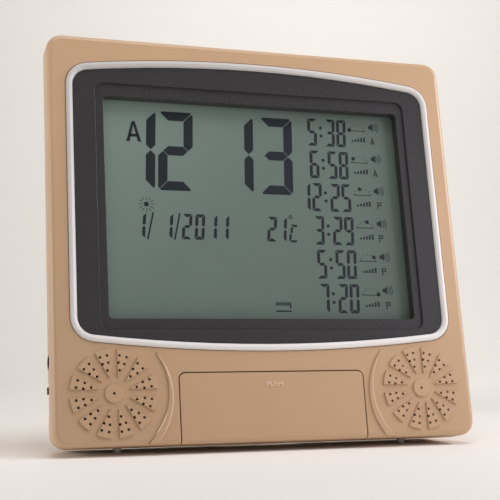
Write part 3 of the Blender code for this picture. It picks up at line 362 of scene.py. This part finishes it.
def arc_path(first, middle, last, steps):
    """Points along the circle through three points."""
    (ax, az), (bx, bz), (cx, cz) = first, middle, last
    d = 2 * (ax * (bz - cz) + bx * (cz - az) + cx * (az - bz))
    a, b, c = ax * ax + az * az, bx * bx + bz * bz, cx * cx + cz * cz
    x = (a * (bz - cz) + b * (cz - az) + c * (az - bz)) / d
    z = (a * (cx - bx) + b * (ax - cx) + c * (bx - ax)) / d
    radius = math.hypot(ax - x, az - z)
    start = math.atan2(az - z, ax - x)
    turn = (math.atan2(cz - z, cx - x) - start + math.pi) % (2 * math.pi) - math.pi
    return [point_at(x, z, start + turn * i / steps, radius) for i in range(steps + 1)]


def bead(name, paths, base, material, body):
    """Half-round lines that taper at their ends, on a face at depth base."""
    bm = bmesh.new()
    for path in paths:
        rows = []
        for i, (x, z) in enumerate(path):
            before, after = path[max(i - 1, 0)], path[min(i + 1, len(path) - 1)]
            dx, dz = after[0] - before[0], after[1] - before[1]
            length = math.hypot(dx, dz)
            to_end = min(i, len(path) - 1 - i)
            share = min(1.0, bead_start + bead_growth * to_end / len(path))
            row = []
            for k in range(bead_points):
                turn = math.pi * k / (bead_points - 1)
                side = math.cos(turn) * bead_width * share / 2
                rise = math.sin(turn) * bead_rise * share
                row.append(bm.verts.new((x - dz / length * side, base - rise, z + dx / length * side)))
            rows.append(row)
        for near, far in zip(rows, rows[1:]):
            for k in range(bead_points):
                j = (k + 1) % bead_points
                bm.faces.new((near[k], near[j], far[j], far[k]))
        bm.faces.new(rows[0])
        bm.faces.new(rows[-1])
    piece = placed(name, bm, material, body)
    piece.data.shade_smooth()


# The beads are in the lighter tan: a painted highlight along the crescents' edges
bead("crescent_beads", [scaled(arc_path(*points, crescent_steps)) for points in crescent_lines],
     crescent_front, raised_highlight_tan, "case")


# Display content: seven-segment digits, in millimetres on the display's face

segments_of = {"0": "abcdef", "1": "bc", "2": "abged", "3": "abgcd", "4": "fgbc", "5": "afgcd", "6": "afgedc",
               "7": "abc", "8": "abcdefg", "9": "abfgcd"}
big_style = {"width": 19.0, "height": 44.4, "stroke": 5.1, "slit": 0.25, "slant": 2.6, "corner": 1.6}
time_style = {"width": 5.7, "height": 16.2, "stroke": 1.75, "slit": 0.22, "slant": 3.0, "corner": 0.55}
date_style = {"width": 5.3, "height": 13.9, "stroke": 1.65, "slit": 0.20, "slant": 5.0, "corner": 0.55}


def digit(char, width, height, stroke, slit, slant, corner):
    """The lit segments of one digit as outlines, with mitred ends and pointed middle bars."""
    def mirrored(shape):
        return [(width - x, z) for x, z in reversed(shape)]

    def upended(shape):
        return [(x, height - z) for x, z in reversed(shape)]

    half = height / 2
    mid = stroke / 2
    chamfer = corner / 2
    inner = width - stroke
    upper_side = [(inner, height - stroke - slit), (width - chamfer, height - chamfer - slit),
                  (width, height - corner - slit), (width, half + mid + slit), (width - mid, half + slit),
                  (inner, half + mid + slit)]
    top_bar = [(stroke + slit, height - stroke), (chamfer + slit, height - chamfer), (corner, height),
               (width - corner, height), (width - chamfer - slit, height - chamfer),
               (inner - slit, height - stroke)]
    middle_bar = [(mid + slit, half), (stroke + slit, half + mid), (inner - slit, half + mid),
                  (width - mid - slit, half), (inner - slit, half - mid), (stroke + slit, half - mid)]
    shapes = {"a": top_bar, "b": upper_side, "c": upended(upper_side), "d": upended(top_bar),
              "e": upended(mirrored(upper_side)), "f": mirrored(upper_side), "g": middle_bar}
    lean = math.tan(math.radians(slant))
    return [[(x + z * lean, z) for x, z in shapes[key]] for key in segments_of[char]]


def digits(places, low, style):
    """Digits with their left edges at their places and their feet at height low."""
    return [scaled(outline, left, low) for char, left in places for outline in digit(char, **style)]


# The large time, with its letter for morning
big_low = 133.4
big_places = (("1", -75.9), ("2", -55.3), ("1", -21.0), ("3", 1.8))
big_letter_place = (-71.5, 159.8)
big_letter_size = (8.2, 11.4, 1.7)
big = digits(big_places, big_low, big_style)
big += [scaled(outline, *big_letter_place) for outline in letter_a(*big_letter_size)]

# The column of times, from the top row down
times = ("5:38", "6:58", "12:25", "3:29", "5:50", "7:20")
row_top = 162.9
row_pitch = 19.06
row_lows = [row_top - row * row_pitch for row in range(len(times))]
tens_left, hour_left = 24.7, 31.4
minute_lefts = (42.2, 48.9)
colon_x = 39.9
colon_ups = (6.0, 10.7)
colon_radius = 0.95
small = []
for text, low in zip(times, row_lows):
    hours, minutes = text.split(":")
    places = [(hours[-1], hour_left), *zip(minutes, minute_lefts)]
    if len(hours) == 2:
        places.append((hours[0], tens_left))
    small += digits(places, low, time_style)
    small += [scaled(disc(colon_x, up, colon_radius), 0, low) for up in colon_ups]

# The date with its strokes, and the temperature with its slanting C
date_low = 106.8
date_places = (("1", -68.6), ("1", -54.0), ("2", -43.6), ("0", -36.6), ("1", -29.8), ("1", -23.2))
degrees_places = (("2", 3.9), ("1", 9.6))
date_stroke = stroke_line(0, 0, 3.4, 14.6, 0.85)
date_stroke_low = 106.4
date_stroke_lefts = (-61.8, -47.4)
celsius_place = (16.4, 106.6)
celsius = ([(0, 0.8), (1.3, 0.8), (1.9, 4.6), (0.6, 4.6)], [(1.0, 5.2), (2.3, 5.2), (2.9, 8.4), (1.6, 8.4)],
           [(1.8, 10.0), (5.3, 10.0), (5.1, 8.7), (2.8, 8.7)], [(0.9, 0), (4.4, 0), (4.6, 1.2), (1.5, 1.2)])
small += digits(date_places + degrees_places, date_low, date_style)
small += [scaled(date_stroke, left, date_stroke_low) for left in date_stroke_lefts]
small += [scaled(outline, *celsius_place) for outline in celsius]

# The temperature's degree sign, and a sun above the date
degree_place = (18.2, 120.9)
degree_outer, degree_inner, degree_sides = 1.1, 0.6, 10
sun_place = (-61.9, 125.4)
sun_radius, sun_sides = 1.35, 16
ray_count = 12
ray_inner, ray_outer, ray_width = 2.4, 4.3, 0.3
marks = [scaled(outline, *degree_place) for outline in ring_shape(degree_outer, degree_inner, degree_sides)]
marks.append(scaled(disc(0, 0, sun_radius, sun_sides), *sun_place))
marks += [scaled(ray, *sun_place) for ray in rays(ray_count, ray_inner, ray_outer, ray_width)]

# Each row's signs: a sun on its path over a horizon, a bar of rising steps, a sound sign, and a letter
# for morning or afternoon
path_place = (62.1, 10.6)
path_reach, path_rise = 4.6, 3.2
path_dots = 7
dot_radius, dot_sides = 0.34, 8
path_sun_radius, path_sun_sides = 1.15, 14
step_count = 5
step_left, step_low, step_pitch, step_width = 58.4, 3.6, 1.8, 1.1
step_first, step_growth = 1.0, 0.5
wave_place = (70.2, 12.8)
wave_count = 3
wave_first, wave_pitch, wave_width = 2.6, 1.25, 0.42
wave_angle = 0.62
wave_steps = 5
horizon = box_outline(57.0, 10.0, 67.2, 10.4)
speaker = [(69.3, 11.8), (70.5, 11.8), (71.9, 10.4), (71.9, 15.2), (70.5, 13.8), (69.3, 13.8)]
letter_left = {2: 70.7, 5: 70.7}
letter_usual_left = 69.9
letter_low = 2.4
letter_size = (2.6, 4.0, 0.62)
afternoon_row = 2


def on_path(share):
    """A place on the sun's path, from sunrise at 0 to sunset at 1."""
    return point_at(*path_place, math.pi * (1 - share), path_reach, path_rise)


def wave(reach):
    """A curved stroke beside the sound sign."""
    return [point_at(*wave_place, start * (1 - 2 * i / wave_steps), radius)
            for radius, start in ((reach, -wave_angle), (reach - wave_width, wave_angle))
            for i in range(wave_steps + 1)]


for row, low in enumerate(row_lows):
    signs = [disc(*on_path(k / (path_dots - 1)), dot_radius, dot_sides) for k in range(path_dots)]
    signs += [disc(*on_path(row / (len(times) - 1)), path_sun_radius, path_sun_sides), horizon]
    for k in range(step_count):
        left = step_left + step_pitch * k
        high = step_low + step_first + step_growth * k
        signs.append(box_outline(left, step_low, left + step_width, high))
    signs.append(speaker)
    signs += [wave(wave_first + wave_pitch * k) for k in range(wave_count)]
    marks += [scaled(sign, 0, low) for sign in signs]
    letter = letter_a if row < afternoon_row else letter_p
    left = letter_left.get(row, letter_usual_left)
    marks += [scaled(outline, left, low + letter_low) for outline in letter(*letter_size)]

# The day of the week as seven small boxes, the last one longer, over a line
day_left, day_low, day_last_low, day_high = 6.4, 71.6, 70.2, 73.4
day_count = 7
day_pitch, day_width = 1.3, 0.9
day_line = box_outline(day_left, 68.2, 15.1, 69.0)
for k in range(day_count):
    left = day_left + day_pitch * k
    low = day_last_low if k == day_count - 1 else day_low
    marks.append(scaled(box_outline(left, low, left + day_width, day_high)))
marks.append(scaled(day_line))

display_content = {"display_time_digits": big, "display_small_digits": small, "display_signs": marks}
for name, outlines in display_content.items():
    raised(name, outlines, display_front - ink, display_front, ink_black, "case")


# Signs on the keys, in millimetres from each key's middle

def arc(x, radius, start, turn, steps):
    """Points on a circle about x, its start and turn in half turns."""
    return [point_at(x, 0, math.pi * (start + turn * i / steps), radius) for i in range(steps + 1)]


moon = arc(0, 2.0, 0.30, 1.40, 14) + arc(0.9, 1.62, 1.60, -1.20, 12)


key_signs = {
    "key_1": [[(-2.0, -1.4), (2.0, -1.4), (0, 1.9)]],
    "key_2": [[(-2.0, 1.4), (0, -1.9), (2.0, 1.4)]],
    "key_3": ring_shape(2.1, 1.6, 20) + [stroke_line(0, 0, 0, 1.3, 0.45), stroke_line(0, 0, 1.0, -0.5, 0.45)],
    "key_4": [moon],
    "key_5": [[(-2.3, -0.7), (-1.2, -0.7), (0.2, -1.9), (0.2, 1.9), (-1.2, 0.7), (-2.3, 0.7)],
              stroke_line(1.1, -1.0, 1.1, 1.0, 0.4), stroke_line(2.0, -1.6, 2.0, 1.6, 0.4)],
    "key_6": [disc(0, 0, 1.0, 16)] + rays(8, 1.5, 2.3, 0.4),
    "key_7": [[(-1.4, -1.8), (1.8, 0), (-1.4, 1.8)]],
    "key_8": [box_outline(-1.5, -1.5, 1.5, 1.5)]}
sign_ink = surface("printed_sign", (0.050, 0.036, 0.028), 0.5, grain=2500.0, bump=0.02, blotch=0.05)
for name, outlines in key_signs.items():
    key_front = case_box(name)[0].y
    centre = case_centre(name)
    raised(name + "_sign", [scaled(outline, *centre) for outline in outlines],
           key_front - ink, key_front, sign_ink, name)


# Cross slots in the screws, each as three black strokes that meet: painted shade where the recess is dark
slot_width = 0.5
slot_share = 0.22  # of the screw head's width, from its middle
for name in frame["nodes"]:
    if "_screw_" in name:
        low, high = case_box(name)
        centre = case_centre(name)
        reach = (high.x - low.x) / millimetre * slot_share
        strokes = (stroke_line(-reach, 0, reach, 0, slot_width),
                   stroke_line(0, slot_width / 2, 0, reach, slot_width),
                   stroke_line(0, -reach, 0, -slot_width / 2, slot_width))
        raised(name + "_slot", [scaled(stroke, *centre) for stroke in strokes],
               high.y - ink, high.y + ink, black, "case")

# Arrow on the battery door, raised, in a lighter tan that is a painted highlight
arrow = [(-1.1, 3.0), (-1.1, -0.5), (-3.2, -0.5), (0, -4.0), (3.2, -0.5), (1.1, -0.5), (1.1, 3.0)]
arrow_up = 17.0
arrow_x = case_centre("battery_door").x
arrow_z = case_box("battery_door")[0].z / millimetre + arrow_up
raised("battery_door_arrow", [scaled(arrow, arrow_x, arrow_z)],
       case_depth - emboss, case_depth + emboss, raised_highlight_tan, "battery_door")


# Word on the door, raised in the moulding, in a lighter tan that is a painted highlight

capital_share = 0.72  # a capital's height as a share of the font's size


def lettering(name, text, height, x, z, body):
    curve = bpy.data.curves.new(name, "FONT")
    curve.body = text
    curve.size = height / capital_share
    curve.extrude = emboss
    curve.bevel_depth = emboss / 3
    curve.align_x = "CENTER"
    curve.align_y = "CENTER"
    curve.resolution_u = 4
    holder = bpy.data.objects.new(name, curve)
    bpy.context.scene.collection.objects.link(holder)
    bpy.context.view_layer.update()
    graph = bpy.context.evaluated_depsgraph_get()
    mesh = bpy.data.meshes.new_from_object(holder.evaluated_get(graph))
    bpy.data.objects.remove(holder)
    mesh.transform(case_frame @ Matrix.Translation((x, door_front, z)) @ Matrix.Rotation(math.pi / 2, 4, "X"))
    mesh.materials.clear()
    mesh.materials.append(raised_highlight_tan)
    piece = bpy.data.objects.new(name, mesh)
    bpy.context.scene.collection.objects.link(piece)
    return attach(piece, body)


lettering("door_word", "PUSH", height=0.0027, x=0.0004, z=0.0290, body="control_door")


# Floor and backdrop in one sweep

floor_front = -2.5
floor_back = 0.7
bend_radius = 0.5
bend_steps = 16
wall_top = 3.0
sweep_reach = 3.0  # to each side


def sweep(name, colour):
    profile = [(floor_front, 0.0), (floor_back, 0.0)]
    for i in range(1, bend_steps + 1):
        turn = math.pi / 2 * i / bend_steps
        profile.append((floor_back + bend_radius * math.sin(turn),
                        bend_radius - bend_radius * math.cos(turn)))
    profile.append((floor_back + bend_radius, wall_top))
    bm = bmesh.new()
    left, right = [[bm.verts.new((x, y, z)) for y, z in profile] for x in (-sweep_reach, sweep_reach)]
    for i in range(len(profile) - 1):
        bm.faces.new((left[i], right[i], right[i + 1], left[i + 1]))
    mesh = bpy.data.meshes.new(name)
    bm.to_mesh(mesh)
    bm.free()
    mesh.shade_smooth()
    mesh.materials.append(surface(name + "_paint", colour, 0.75, grain=300.0, bump=0.01, blotch=0.006))
    floor = bpy.data.objects.new(name, mesh)
    bpy.context.scene.collection.objects.link(floor)


sweep("studio_sweep", (0.95, 0.915, 0.87))


# Light: two narrow soft lamps from the upper right, one from the left that catches the side wall, a wide
# one above, one for the backdrop alone, and an even surround

narrow = 80
wide = 180
cool = (0.95, 0.91, 1.0)
half_cool = (0.96, 0.93, 1.0)
warm = (1.0, 0.98, 0.95)
neutral = (1, 1, 1)


def area_light(name, place, aim, size, power, colour=neutral, spread=wide):
    data = bpy.data.lights.new(name, "AREA")
    data.shape = "DISK"
    data.size = size
    data.energy = power
    data.color = colour
    data.spread = math.radians(spread)
    lamp = bpy.data.objects.new(name, data)
    lamp.visible_camera = False
    bpy.context.scene.collection.objects.link(lamp)
    lamp.location = place
    lamp.rotation_euler = (Vector(aim) - Vector(place)).to_track_quat("-Z", "Y").to_euler()


area_light("key_light", (0.74, -0.50, 0.42), (0, 0, 0.13), size=0.45, power=0.57, colour=cool, spread=narrow)
area_light("side_light", (-0.9, 0.10, 0.24), (0, 0, 0.11), size=0.4, power=0.60, colour=warm, spread=narrow)
area_light("rim_light", (0.80, -0.13, 0.50), (0, 0, 0.10), size=0.22, power=0.45, colour=half_cool,
           spread=narrow)
area_light("top_light", (0.0, -0.34, 1.4), (0, -0.22, 0), size=1.0, power=8.4)
area_light("backdrop_light", (0.6, 0.35, 0.9), (0.75, 1.2, 0.70), size=1.2, power=6.0)

world = bpy.data.worlds.new("studio")
world.use_nodes = True
background = world.node_tree.nodes["Background"]
background.inputs["Color"].default_value = (1.0, 0.99, 0.98, 1)
background.inputs["Strength"].default_value = 0.22
bpy.context.scene.world = world
bpy.context.scene.view_settings.view_transform = "Standard"
